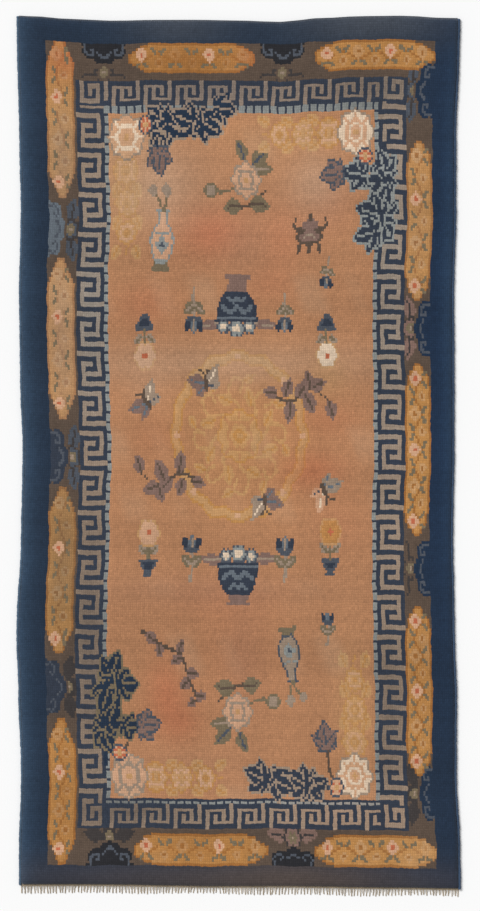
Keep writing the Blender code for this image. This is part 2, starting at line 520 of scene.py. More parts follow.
class Motif:
    """A motif's own axes on the chart: u and v in knots from its middle, turned in degrees."""

    def __init__(self, chart, x, y, turn=0.0, size=1.0, reach=26):
        reach = reach * size
        columns = slice(*np.searchsorted(chart.x[0], (x - reach, x + reach)))
        rows = slice(*np.searchsorted(chart.y[:, 0], (y - reach, y + reach)))
        dx = chart.x[rows, columns] - x
        dy = chart.y[rows, columns] - y
        angle = radians(turn)
        self.wool = chart.wool[rows, columns]
        self.u = (dx * cos(angle) + dy * sin(angle)) / size
        self.v = (dy * cos(angle) - dx * sin(angle)) / size

    def paint(self, where, wool):
        self.wool[where] = NUMBER[wool]

    def leaned(self, u, v, lean):
        """Axes of a shape inside the motif, from its own middle and leaning in degrees."""
        angle = radians(lean)
        du, dv = self.u - u, self.v - v
        return du * cos(angle) + dv * sin(angle), dv * cos(angle) - du * sin(angle)

    def oval(self, u, v, half_u, half_v, wool):
        self.paint(((self.u - u) / half_u) ** 2 + ((self.v - v) / half_v) ** 2 < 1, wool)

    def lobes(self, u, v, radius, count, depth, wool):
        """A round shape with lobes, such as a blossom's edge."""
        du, dv = self.u - u, self.v - v
        angle = np.arctan2(dv, du)
        edge = radius * (1 - depth + depth * np.abs(np.cos(count * angle / 2)))
        self.paint(np.hypot(du, dv) < edge, wool)

    def rosette(self, u, v, count, depth, *rings):
        """Lobed rounds one inside the other, from the outermost: the radius and the wool of each."""
        for radius, wool in rings:
            self.lobes(u, v, radius, count, depth, wool)

    def rays(self, u, v, inner, outer, count, width, wool):
        """Thin lines that part a blossom's petals."""
        du, dv = self.u - u, self.v - v
        reach = np.hypot(du, dv)
        off = np.abs(np.sin(count * np.arctan2(dv, du) / 2)) * reach * 2 / count
        self.paint((off < width / 2) & (reach > inner) & (reach < outer), wool)

    def leaf(self, u, v, length, half_width, lean, wool, vein=None):
        """A pointed leaf that starts at u, v."""
        du, dv = self.leaned(u, v, lean)
        edge = half_width * np.sin(pi * np.clip(du / length, 0, 1) ** 0.8) + 0.35
        inside = (du > -0.3) & (du < length) & (np.abs(dv) < edge)
        self.paint(inside, wool)
        if vein:
            self.paint(inside & (np.abs(dv) < 0.5) & (du < length * 0.8), vein)

    def leaf_pair(self, out, v, length, half_width, lean, wool, vein=None):
        """Two leaves that start so far out on both sides of the middle line and lean away from it."""
        for side in (1, -1):
            self.leaf(out * side, v, length, half_width, 90 - lean * side, wool, vein)

    def stroke(self, points, width, wool, end_width=None):
        """A line of knots along a smooth curve through the given points."""
        path = smooth_path(points)
        widths = np.linspace(width, end_width or width, len(path))
        for (u, v), across in zip(path, widths):
            self.paint(np.hypot(self.u - u, self.v - v) < across / 2, wool)

    def vessel(self, rows, wool, inset=0.0):
        """A vessel seen from the side: rows of a height and the half width there."""
        heights = [height for height, _ in rows]
        half = np.interp(self.v, heights, [half for _, half in rows]) - inset
        inside = (self.v > heights[0] + inset) & (self.v < heights[-1] - inset)
        self.paint(inside & (np.abs(self.u) < half), wool)


def smooth_path(points, steps=9):
    """Points along a curve that passes smoothly through the given ones."""
    points = np.array([points[0], *points, points[-1]], float)
    path = []
    for before, here, there, after in zip(points, points[1:], points[2:], points[3:]):
        for share in np.arange(steps) / steps:
            bend = 2 * here + (there - before) * share
            bend += (2 * before - 5 * here + 4 * there - after) * share**2
            bend += (3 * here - before - 3 * there + after) * share**3
            path.append(bend / 2)
    path.append(points[-1])
    return path


def marks(rows):
    """A small chart of marks as an array of truths."""
    return np.array([[mark == "#" for mark in row] for row in rows])


# Borders


def draw_fret_side(chart, box, side):
    """The fret along one side: its repeats run along the side, and its seven lines lie across it."""
    left, right, near, far = box
    flat = side in ("far", "near")
    along, across = (chart.x, chart.y) if flat else (chart.y, chart.x)
    start, end = (left, right) if flat else (near, far)
    depths = {"left": across - left, "right": right - across, "far": far - across, "near": across - near}
    depth = depths[side]
    steps = np.cumsum(FRET_LINE_WIDTHS[side])
    line = np.searchsorted(steps, depth, side="right").clip(0, FRET_LINES - 1)
    repeat = marks(FRET_REPEAT)
    cell = np.floor((along - start) / FRET_CELL).astype(int) % repeat.shape[1]
    if side in ("right", "near"):
        cell = repeat.shape[1] - 1 - cell
    here = (depth > 0) & (depth < steps[-1]) & (along > start) & (along < end)
    chart.paint(here & repeat[line, cell], "navy")


def draw_fret_corner(chart, left, near, columns, rows):
    """A squared spiral that turns the fret's corner."""
    u = (chart.x - left) / columns
    v = (chart.y - near) / rows
    here = (u > 0) & (u < 1) & (v > 0) & (v < 1)
    down = (v * FRET_LINES).astype(int).clip(0, FRET_LINES - 1)
    across = (u * FRET_LINES).astype(int).clip(0, FRET_LINES - 1)
    chart.paint(here, "camel")
    chart.paint(here & marks(FRET_CORNER)[down, across], "navy")


def draw_fret(chart):
    box = box_inside([OUTER, MAIN])
    left, right, near, far = box
    chart.paint_box(box, "camel")
    for side in FRET_LINE_WIDTHS:
        draw_fret_side(chart, box, side)
    for x, columns in ((left, FRET.left), (right - FRET.right, FRET.right)):
        for y, rows in ((near, FRET.near), (far - FRET.far, FRET.far)):
            draw_fret_corner(chart, x, y, columns, rows)


def draw_pearls(chart):
    """The narrow guard of pearls between the fret and the field."""
    box = box_inside([OUTER, MAIN, FRET])
    chart.paint_box(box, "navy")
    pearl = (np.floor(chart.x) % PEARL_STEP != 0) & (np.floor(chart.y) % PEARL_STEP != 0)
    chart.paint(chart.inside(box) & pearl, "pale_blue")


def panel_middle(side):
    """The main border's middle line on one side, and half its width."""
    left, right, near, far = box_inside([OUTER])
    return {
        "far": (far - 6.1, 6.3),
        "near": (near + 6.4, 6.8),
        "left": (left + 7.0, 7.0),
        "right": (right - 6.5, 6.9),
    }[side]


def draw_panel(chart, panel):
    """A long golden panel with bracket-shaped ends, filled with a flowering vine."""
    middle, half = panel_middle(panel.side)
    flat = panel.side in ("far", "near")
    centre = (panel.start + panel.end) / 2
    reach = (panel.end - panel.start) / 2
    x, y = (centre, middle) if flat else (middle, centre)
    motif = Motif(chart, x, y, 0 if flat else 90, reach=reach + 1)
    from_end = reach - np.abs(motif.u)
    step = np.select([from_end < knots for knots in PANEL_END_STEPS], list(PANEL_END_STEPS.values()), 1.0)
    edge = (half - 0.4) * step
    across = np.abs(motif.v)
    inside = (from_end > 0) & (across < edge)
    motif.paint(inside, "ochre")
    motif.paint(inside & (from_end > 1) & (across < edge - 1), "honey")
    around = motif.wool[~inside]
    draw_vine(motif, reach - VINE_MARGIN, (half - 2.5) * 0.42)
    motif.wool[~inside] = around


def draw_vine(motif, reach, sway):
    """A waving stem with a blossom in every hollow and a pair of leaves on every crest."""
    count = 2 * round(reach / VINE_STEP) + 1
    places = np.linspace(-reach, reach, count)
    sides = [1 if number % 2 else -1 for number in range(count)]
    motif.stroke([(u, side * sway) for u, side in zip(places, sides)], 1.0, "ochre")
    for number, (u, side) in enumerate(zip(places, sides)):
        for way in (1, -1):
            leaf = [(u + way * 1.2, side * (sway + 0.6)), (u + way * 3.0, side * (sway + 1.8))]
            motif.stroke(leaf, 1.5, "olive")
        big = number % 2 == 0
        v = -side * sway * (0.9 if big else 1.1)
        motif.lobes(u, v, 2.9 if big else 2.0, 4, 0.22, "peach" if number % 4 == 0 else "gold")
        motif.oval(u, v, 0.9, 0.9, "rust" if number % 4 == 0 else "ochre")


def draw_cloud_head(motif, reach, fill):
    """A cloud head that grows in from the outer band between two panels."""
    for wool, thinner in (("brown", 0.0), (fill, 0.8)):
        motif.oval(0, -1, 13 - thinner, reach * 0.6 + 1 - thinner, wool)
        for side in (1, -1):
            motif.oval(6.5 * side, reach * 0.5, 5.2 - thinner, 4.2 - thinner, wool)
        motif.oval(0, reach * 0.75, 6.2 - thinner, 4.8 - thinner, wool)
    for side in (1, -1):
        curl = [(side * 9, 0.5), (side * 9.5, 3.0), (side * 7, 4.8), (side * 5.2, 3.4), (side * 6.6, 2.0)]
        motif.stroke(curl, 1.0, "slate")
    motif.stroke([(-3.2, reach * 0.62), (0, reach * 0.95), (3.2, reach * 0.62)], 1.0, "slate")


def draw_gap_flower(motif, petals):
    """A dull blossom with two leaves on the inner side of the gap between two panels."""
    motif.leaf_pair(3, 0, 10, 2.6, 78, petals, "umber")
    motif.rosette(0, 0, 6, 0.2, (5.0, "umber"), (3.8, petals), (2.4, "olive"))
    motif.oval(0, 0, 1.0, 1.0, "camel")


def draw_main_border(chart):
    """Golden panels on a dark brown ground, with a cloud head and a blossom in each gap."""
    box = box_inside([OUTER])
    left, right, near, far = box
    in_left, in_right, in_near, in_far = box_inside([OUTER, MAIN])
    chart.paint_box(box, "brown")
    places = {
        "far": lambda along: ((along, far, 180), (along, in_far + 3.5, 180)),
        "near": lambda along: ((along, near, 0), (along, in_near - 3.5, 0)),
        "left": lambda along: ((left, along, -90), (in_left - 4, along, -90)),
        "right": lambda along: ((right, along, 90), (in_right + 3.5, along, 90)),
    }
    for gap in GAPS:
        head, flower = places[gap.side](gap.place)
        draw_gap_flower(Motif(chart, *flower), gap.blossom)
        draw_cloud_head(Motif(chart, *head), gap.reach, gap.cloud)
    for panel in PANELS:
        draw_panel(chart, panel)
    chart.paint(~chart.inside(box), "indigo")


# Motifs of the field


def draw_blossom(motif, u, v, radius, wools, petals=8):
    """A peony seen from above: its edge line, its petals, an inner ring and its heart."""
    edge, petal, inner, heart = wools
    motif.rosette(u, v, petals, 0.14, (radius, edge), (radius - 1.0, petal))
    motif.rays(u, v, radius * 0.58, radius - 1.2, petals, 0.9, inner)
    motif.rosette(u, v, 6, 0.14, (radius * 0.60, inner), (radius * 0.44, petal))
    motif.lobes(u, v, radius * 0.30, 4, 0.10, heart)
    if radius > 6:
        motif.oval(u, v, 1.3, 1.3, "gold")


def draw_leaf_cluster(motif, u, v, lean, size, leaf, edge):
    """Five peony leaves on one stalk, each with an edge and a vein of another wool."""
    for turn, length, width in LEAF_FAN:
        motif.leaf(u, v, length * size + 1, width * size + 0.8, lean + turn, edge)
        motif.leaf(u, v, length * size, width * size, lean + turn, leaf, edge)


def draw_golden_arm(motif):
    """Golden blossoms and leaves along a scrolling stem, a tone lighter than the ground."""
    motif.stroke([(9, -16), (12, -25), (6, -35), (11, -45), (8, -57)], 1.3, "honey")
    for v, radius in ((-23, 6.6), (-36, 6.2), (-48, 5.2)):
        for side in (1, -1):
            motif.leaf(8.5 - 4 * side, v - 5, 7, 2.4, -90 - 24 * side, "gold", "honey")
        draw_blossom(motif, 8.5, v, radius, ("honey", "gold", "peach", "honey"))


def draw_corner_spray(motif, spray):
    """A corner of the field: a pale peony, dark leaves along one edge and a golden arm along the other.

    The leaves reach some knots out over the borders, and a small spray hangs inside.
    """
    first, second, _, last = spray.stalks[:4]
    stem = [(14, first.out), (26, first.out), (38, second.out), (52, last.out)]
    draw_golden_arm(motif)
    motif.stroke(stem, 2.2, spray.leaf, 1.2)
    motif.stroke([(20, -8), (spray.bud[0] - 1, -14), spray.bud], 1.4, "brown")
    for stalk in spray.stalks:
        draw_leaf_cluster(motif, *stalk, spray.leaf, spray.edge)
    draw_leaf_cluster(motif, *spray.bud, -80, 0.7, "mauve", "slate")
    draw_blossom(motif, 9.0, -9.5, 9.6, ("camel", spray.petal, spray.inner, "peach"))
    draw_blossom(motif, 18.5, -5, 4.0, ("slate", "peach", "rust", "gold"), 6)


def draw_medallion(chart, x, y):
    """The central round of golden scrolls, close to the ground in tone."""
    motif = Motif(chart, x, y, reach=MEDALLION_REACH)
    motif.rosette(0, 0, 16, 0.05, (35.4, "honey"), (34.4, "gold"), (31.2, "honey"), (30.2, "apricot"))
    for number in range(MEDALLION_SCROLLS):
        scroll = Motif(chart, x, y, number * 360 / MEDALLION_SCROLLS, reach=MEDALLION_REACH)
        scroll.stroke([(12, 0), (17, 5), (23, 3), (22, -2), (18, -1)], 1.5, "gold")
        scroll.leaf(13, 4, 8, 2.2, 60, "gold", "honey")
        scroll.leaf(22, -3, 6, 1.8, -60, "gold", "honey")
        scroll.oval(32, 0, 1.5, 1.5, "peach")
    draw_blossom(motif, 0, 0, 11.5, ("honey", "gold", "apricot", "honey"))


def draw_jardiniere(motif, girth, foot):
    """A dark blue bowl on a stand, with blossoms and long leaves over its pale rim."""
    motif.u = motif.u / girth
    motif.leaf_pair(7, 7, 11, 1.9, 86, "mauve", "camel")
    motif.vessel([(-foot, 5.4), (1.8 - foot, 5.4), (1.9 - foot, 3.8), (-6.8, 4.4)], "mauve")
    motif.vessel([(-7.4, 4.4), (-4.4, 7.0), (0, 8.6), (3.4, 8.6), (4.6, 9.2), (6, 9.2)], "navy")
    motif.vessel([(3.8, 8.4), (5.2, 8.4)], "blue")
    motif.stroke([(-6, -0.4), (-3, 1.8), (0, -0.4), (3, 1.8), (6, -0.4)], 1.9, "blue")
    motif.stroke([(-3.6, -4.6), (-1.6, -3.0), (0, -4.6), (1.6, -3.0), (3.6, -4.6)], 1.6, "blue")
    for u, v, radius in ((-5.6, 8.4, 3.2), (5.6, 8.4, 3.2), (0, 9.4, 4.2)):
        motif.rosette(u, v, 6, 0.2, (radius, "slate"), (radius - 0.9, "pale_blue"))
        motif.oval(u, v, radius * 0.40, radius * 0.40, "cream")


def draw_bud(motif):
    """A dark bud with two leaves on a pale stem."""
    motif.stroke([(0, -12), (0.6, -6), (0, 0)], 1.6, "camel")
    motif.leaf_pair(0, -6, 6.5, 1.9, 55, "olive", "camel")
    motif.oval(0, 1, 4.2, 2.4, "slate")
    motif.leaf_pair(2.4, 1.2, 4.4, 1.5, 22, "navy")
    motif.leaf(0, 0.6, 5.6, 1.6, 90, "blue", "camel")


def draw_bowl_with_fruit(motif, fruit, radius):
    """A small dark bowl on a foot with one round fruit on a short leafy stem over it."""
    motif.vessel([(-4.5, 2.4), (-3.6, 2.4), (-3.5, 1.4), (-2, 2.6), (0, 4.0), (2.6, 4.8)], "slate")
    motif.vessel([(-1.6, 1.6), (0, 2.6), (0.9, 3.2)], "navy")
    motif.stroke([(0, 2.4), (0, 8)], 1.4, "olive")
    motif.leaf_pair(1.2, 5.0, 5, 1.5, 55, "camel", "olive")
    motif.rosette(0, 7 + radius, 6, 0.12, (radius, "gold"), (radius - 0.9, fruit))
    motif.oval(0, 7 + radius, 1.2, 1.2, "rust")


def draw_butterfly(motif, near_wing, far_wing):
    """A butterfly in flight: a dark near wing, a paler far wing and a brown body."""
    motif.leaf(0.5, 0, 13, 3.4, 42, far_wing, "cream")
    motif.leaf(1, -0.5, 9, 2.6, -8, far_wing, "slate")
    motif.leaf(-0.5, 0, 13, 3.8, 160, near_wing, "blue")
    motif.leaf(-1, -1, 8.5, 2.6, 212, near_wing, "blue")
    motif.oval(0, 0, 1.4, 4.0, "brown")
    motif.stroke([(0, 3.5), (1.5, 6.5), (3.5, 7.5)], 1.2, "brown")
    motif.stroke([(0, 3.5), (-1, 6.8), (-3, 8)], 1.2, "brown")


def draw_branch(motif, points, leaves):
    """A bent twig with leaves at chosen places."""
    motif.stroke(points, 1.9, "brown", 1.2)
    for u, v, lean, size in leaves:
        motif.leaf(u, v, 8 * size, 2.6 * size, lean, "mauve", "brown")


def draw_vase(motif, outline, body):
    """A slender vase on a stand with a spray of twigs, in one wool for its outline and another inside."""
    motif.vessel([(-14, 4.6), (-12.4, 4.6), (-12.3, 2.8), (-10.5, 3.2)], "olive")
    rows = [(-11, 2.6), (-7, 5.2), (-2, 6.0), (2, 4.2), (5, 2.2), (8, 2.4), (9.5, 3.6)]
    motif.vessel(rows, outline)
    motif.vessel(rows, body, inset=1.0)
    motif.lobes(0, -4, 3.2, 4, 0.3, "pale_blue")
    motif.oval(0, -4, 1.0, 1.0, "slate")
    motif.stroke([(-3.2, 1.0), (0, 0), (3.2, 1.0)], 1.0, "pale_blue")
    motif.stroke([(0, 9), (-1.5, 13), (-4, 16)], 1.2, "olive")
    motif.stroke([(0.5, 9), (2, 13), (1.5, 17)], 1.2, "olive")
    motif.lobes(-4.5, 16.5, 2.4, 4, 0.2, "camel")
    motif.lobes(2, 17, 2.6, 4, 0.2, "camel")


def draw_censer(motif):
    """A three-legged censer with two handles and a lid."""
    for u in (-4.5, 0, 4.5):
        motif.stroke([(u, -2), (u * 1.15, -6)], 1.5, "brown")
    motif.oval(0, 0, 6.6, 3.6, "brown")
    motif.oval(0, -0.3, 5.0, 2.2, "mauve")
    motif.vessel([(2.2, 5.6), (3.6, 5.6)], "brown")
    motif.oval(0, 4.6, 4.0, 2.4, "mauve")
    motif.oval(0, 7.4, 1.3, 1.3, "brown")
    for side in (1, -1):
        motif.stroke([(6 * side, 2.4), (8.2 * side, 4.8), (7.6 * side, 7)], 1.2, "brown")
    motif.stroke([(-3, -0.6), (0, 0.4), (3, -0.6)], 1.0, "camel")


def draw_peony_spray(motif):
    """A pale peony between leaves on one stem."""
    motif.stroke([(-9, -8), (-4, -11), (4, -9), (10, -4)], 1.3, "brown")
    motif.leaf(2, -9, 10, 3.2, -8, "olive", "brown")
    motif.leaf(-3, -10, 9, 3.0, 190, "olive", "brown")
    motif.leaf(3, 6, 11, 3.0, 40, "olive", "slate")
    motif.leaf(-1, 8, 9, 2.6, 110, "olive", "slate")
    motif.leaf(5, 4, 9, 2.4, 5, "olive", "camel")
    motif.stroke([(-5, -3), (-12, -5), (-17, -4)], 1.2, "olive")
    motif.rosette(-18, -4, 6, 0.2, (3.6, "olive"), (2.4, "camel"))
    draw_blossom(motif, 0, 0, 7.6, ("camel", "peach", "camel", "peach"))


def draw_field(chart):
    box = box_inside([OUTER, MAIN, FRET, PEARLS])
    left, right, near, far = box
    chart.paint_box(box, "apricot")
    draw_medallion(chart, 0.5, 7)
    draw_jardiniere(Motif(chart, 0.2, 58.5, 180, 0.9), 1.30, 14.5)
    draw_jardiniere(Motif(chart, 0.9, -49.8), 1.15, 11.6)
    for bud in BUDS:
        draw_bud(Motif(chart, *bud))
    for x, y, turn, fruit, radius in BOWLS:
        draw_bowl_with_fruit(Motif(chart, x, y, turn), fruit, radius)
    for x, y, turn, near_wing, far_wing in BUTTERFLIES:
        draw_butterfly(Motif(chart, x, y, turn, BUTTERFLY_SIZE), near_wing, far_wing)
    draw_branch(Motif(chart, 33, 24, reach=TWIG_REACH), TWIG, TWIG_LEAVES)
    draw_branch(Motif(chart, -36.5, -11, 180, reach=TWIG_REACH), TWIG, TWIG_LEAVES)
    draw_peony_spray(Motif(chart, 4, 110))
    draw_peony_spray(Motif(chart, 0, -104, 180))
    draw_vase(Motif(chart, -38.5, 88, 0, 1.05), "pale_blue", "peach")
    draw_vase(Motif(chart, 27, -83, 186, 0.95), "slate", "camel")
    draw_censer(Motif(chart, 36, 87))
    draw_branch(Motif(chart, -30, -85, reach=TWIG_REACH), LONG_TWIG, LONG_TWIG_LEAVES)
    places = {
        "far left": (left, far, 0),
        "far right": (right, far, -90),
        "near right": (right - 1.5, near, 180),
        "near left": (left, near, 90),
    }
    for corner, place in places.items():
        draw_corner_spray(Motif(chart, *place, reach=SPRAY_REACH), SPRAYS[corner])


def draw_chart():
    chart = Chart()
    draw_main_border(chart)
    draw_fret(chart)
    draw_pearls(chart)
    draw_field(chart)
    return chart


# Dyeing


def waves(places, lengths, phases):
    """A smooth uneven line through all the places: a sum of long and short waves, about -1 to 1."""
    total = sum(np.sin(2 * pi * places / length + phase) for length, phase in zip(lengths, phases))
    return total / len(lengths) * WAVE_GAIN


def linear(colour):
    """A colour from 0 to 255 as linear light."""
    share = np.asarray(colour, float) / 255
    return np.where(share <= 0.04045, share / 12.92, ((share + 0.055) / 1.055) ** 2.4)


def mixed(colour, share, other):
    """The colours with a share of another one, given from 0 to 255, at each knot."""
    return colour + share[..., None] * (linear(other) - colour)


def dyed_in_patches(colour, chart, patches, where):
    """The colours with soft patches of other wools where the chart is to have them."""
    for patch in patches:
        reach = ((chart.x - patch.x) / patch.half_x) ** 2 + ((chart.y - patch.y) / patch.half_y) ** 2
        colour = mixed(colour, patch.strength * np.exp(-reach) * where, WOOLS[patch.wool])
    return colour


def knot_colours(chart, faded=True):
    """Each knot's colour: its wool, with the dye's streaks along the rows, patches and uneven yarn."""
    rng = np.random.default_rng(SEED)
    colour = linear(list(WOOLS.values()))[chart.wool]
    ground = chart.has("apricot", "gold", "honey", "peach")
    field = chart.inside(box_inside([OUTER, MAIN, FRET, PEARLS]))
    colour = dyed_in_patches(colour, chart, FIELD_PATCHES, ground & field)
    colour = dyed_in_patches(colour, chart, PANEL_PATCHES, chart.has("honey", "gold", "ochre") & ~field)
    colour = dyed_in_patches(colour, chart, BAND_PATCHES, chart.has("indigo"))
    colour = dyed_in_patches(colour, chart, FRET_PATCHES, chart.has("camel", "pale_blue") & ~field)
    streak = waves(chart.y, *STREAKS_ALONG) * STREAK_ALONG
    streak = streak + waves(chart.y + STREAK_SLANT * chart.x, *STREAKS_SLANTED) * STREAK_SLANTED
    across = waves(chart.x, *STREAKS_ACROSS) * STREAK_ACROSS
    yarn = rng.normal(0, KNOT_SPREAD, chart.x.shape)
    colour = colour * (1 + streak + across + yarn)[..., None]
    if faded:
        slanted = chart.x * WEAR_SLANT[0] + chart.y * WEAR_SLANT[1]
        worn = np.clip(waves(slanted, *WEAR_SLANTED), 0, 1)
        worn = worn * np.clip(waves(chart.y, *WEAR_ALONG), 0, 1) * WEAR * ground
        colour = mixed(colour, worn, WORN_WOOL)
    return np.clip(colour, DARKEST, LIGHTEST)


# The weave on the floor

CORNERS = {"near left": (-1, -1), "near right": (1, -1), "far right": (1, 1), "far left": (-1, 1)}


def side_points(points, start, end, axis):
    """The points of a ring between two of its corners, sorted along the side."""
    count = (end - start) % len(points)
    side = np.roll(points, -start, axis=0)[1:count]
    return side[np.argsort(side[:, axis])]


class Outline:
    """The carpet's uneven outline, read from where its solid meets the floor."""

    def __init__(self, solid):
        points = np.array([vert.co[:] for vert in solid.data.vertices])
        points = np.unique(points[points[:, 2] < FLOOR_TOLERANCE, :2].round(6), axis=0)
        self.middle = (points.min(axis=0) + points.max(axis=0)) / 2
        away = points - self.middle
        points = points[np.argsort(np.arctan2(away[:, 1], away[:, 0]))]
        corner = {name: int(np.argmax(points @ np.array(way))) for name, way in CORNERS.items()}
        self.near_points = side_points(points, corner["near left"], corner["near right"], 0)
        self.right_points = side_points(points, corner["near right"], corner["far right"], 1)
        self.far_points = side_points(points, corner["far right"], corner["far left"], 0)
        self.left_points = side_points(points, corner["far left"], corner["near left"], 1)
        self.half_width = (self.right_points[:, 0].mean() - self.left_points[:, 0].mean()) / 2
        self.half_length = (self.far_points[:, 1].mean() - self.near_points[:, 1].mean()) / 2

    def left(self, y):
        return np.interp(y, self.left_points[:, 1], self.left_points[:, 0])

    def right(self, y):
        return np.interp(y, self.right_points[:, 1], self.right_points[:, 0])

    def near(self, x):
        return np.interp(x, *self.near_points.T)

    def far(self, x):
        return np.interp(x, *self.far_points.T)

    def place(self, across, along, side_inset=0.0, far_inset=0.0, near_inset=0.0):
        """The floor point at shares -1 to 1 across and along the outline, or a line inside it."""
        x = self.middle[0] + across * self.half_width
        near = self.near(x) + near_inset
        y = near + (self.far(x) - far_inset - near) * (along + 1) / 2
        left = self.left(y) + side_inset
        x = left + (self.right(y) - side_inset - left) * (across + 1) / 2
        return x, y

    def rounded(self, x, y, across, along, radius):
        """Draws the points near a corner in, so that the corner is round."""
        from_side = radius - (1 - np.abs(across)) * self.half_width
        from_end = radius - (1 - np.abs(along)) * self.half_length
        near_corner = (from_side > 0) & (from_end > 0)
        square = np.maximum(from_side, from_end)
        share = np.where(near_corner, square / np.maximum(np.hypot(from_side, from_end), 1e-9), 1)
        pull_x = np.where(near_corner, from_side * (1 - share), 0) * np.sign(across)
        pull_y = np.where(near_corner, from_end * (1 - share), 0) * np.sign(along)
        return x - pull_x, y - pull_y


def new_piece(name, mesh, material):
    piece = bpy.data.objects.new(name, mesh)
    bpy.context.scene.collection.objects.link(piece)
    mesh.materials.append(material)
    return piece


def close_sheet(bm, levels):
    """Takes a sheet's rim straight down so many levels, 1 apart, and fills the last ring."""
    rim = [edge for edge in bm.edges if edge.is_boundary]
    for level in range(1, levels + 1):
        made = bmesh.ops.extrude_edge_only(bm, edges=rim)["geom"]
        for item in made:
            if isinstance(item, bmesh.types.BMVert):
                item.co.z = -level
        rim = [item for item in made if isinstance(item, bmesh.types.BMEdge) and item.is_boundary]
    bmesh.ops.contextual_create(bm, geom=rim)


def mesh_points(mesh):
    points = np.empty(len(mesh.vertices) * 3)
    mesh.vertices.foreach_get("co", points)
    return points.reshape(-1, 3)


def corner_points(mesh):
    """For each face corner, the number of its point."""
    numbers = np.empty(len(mesh.loops), int)
    mesh.loops.foreach_get("vertex_index", numbers)
    return numbers


def corner_faces(mesh):
    """For each face corner, the number of its face."""
    totals = np.empty(len(mesh.polygons), int)
    mesh.polygons.foreach_get("loop_total", totals)
    return np.repeat(np.arange(len(totals)), totals)


def knot_sheet(name, levels):
    """A closed sheet with one face for each knot on its top, before it is placed.

    Returns the mesh, each point's column and row, and its level: 0 on top, 1 and more down the walls.
    """
    bm = bmesh.new()
    bmesh.ops.create_grid(bm, x_segments=COLUMNS, y_segments=ROWS, size=1)
    close_sheet(bm, levels)
    bmesh.ops.recalc_face_normals(bm, faces=bm.faces)
    mesh = bpy.data.meshes.new(name)
    bm.to_mesh(mesh)
    bm.free()
    points = mesh_points(mesh)
    column = np.rint((points[:, 0] + 1) / 2 * COLUMNS).astype(int)
    row = np.rint((points[:, 1] + 1) / 2 * ROWS).astype(int)
    return mesh, column, row, np.rint(-points[:, 2]).astype(int)


def set_points(mesh, x, y, z):
    mesh.vertices.foreach_set("co", np.column_stack((x, y, z)).ravel())
    mesh.update()


def paint_knots(mesh, column, row, colours):
    """Stores each knot's colour on its face. A wall has the nearest knot's, and the filling its rim's."""
    point = corner_points(mesh)
    face = corner_faces(mesh)
    count = np.bincount(face)
    knot_column = np.floor(np.bincount(face, column[point]) / count).astype(int).clip(0, COLUMNS - 1)
    knot_row = np.floor(np.bincount(face, row[point]) / count).astype(int).clip(0, ROWS - 1)
    colour = np.ones((len(point), 4))
    colour[:, :3] = colours[knot_row, knot_column][face]
    filling = count[face] > 4
    rim = point[filling]
    colour[filling, :3] = colours[row[rim].clip(0, ROWS - 1), column[rim].clip(0, COLUMNS - 1)]
    layer = mesh.color_attributes.new("wool", "FLOAT_COLOR", "CORNER")
    layer.data.foreach_set("color", colour.ravel())


def add_uv(mesh, name, u, v):
    """A UV map from values at the points."""
    point = corner_points(mesh)
    layer = mesh.uv_layers.new(name=name)
    layer.data.foreach_set("uv", np.column_stack((u[point], v[point])).ravel())


def flat_share(number, count, strip):
    """Where a line of knots lies in the flat layout, 0 to 1, with the walls' strip past both ends."""
    share = WALL_STRIP + (1 - 2 * WALL_STRIP) * number / count
    return share + strip * (np.where(number == count, 1, 0) - np.where(number == 0, 1, 0))


def knot_uvs(mesh, column, row, level, levels):
    """One map that counts knots, and one that lays the whole sheet out flat in the unit square."""
    add_uv(mesh, "Knots", column.astype(float), row.astype(float))
    strip = level / levels * WALL_STRIP
    add_uv(mesh, "OFBake", flat_share(column, COLUMNS, strip), flat_share(row, ROWS, strip))


def changes_of_wool(chart):
    """For each crossing of the grid lines, 1 where the four knots round it differ in wool, else 0."""
    padded = np.pad(chart.wool, 1, mode="edge")
    four = np.stack([padded[:-1, :-1], padded[1:, :-1], padded[:-1, 1:], padded[1:, 1:]])
    return (four.max(axis=0) != four.min(axis=0)).astype(float)


def spread_on_floor(outline, column, row, insets):
    """Where the points of a sheet lie on the floor, and their shares -1 to 1 across and along."""
    across = column / COLUMNS * 2 - 1
    along = row / ROWS * 2 - 1
    x, y = outline.place(across, along, *insets)
    x, y = outline.rounded(x, y, across, along, CORNER_RADIUS)
    return x, y, across, along


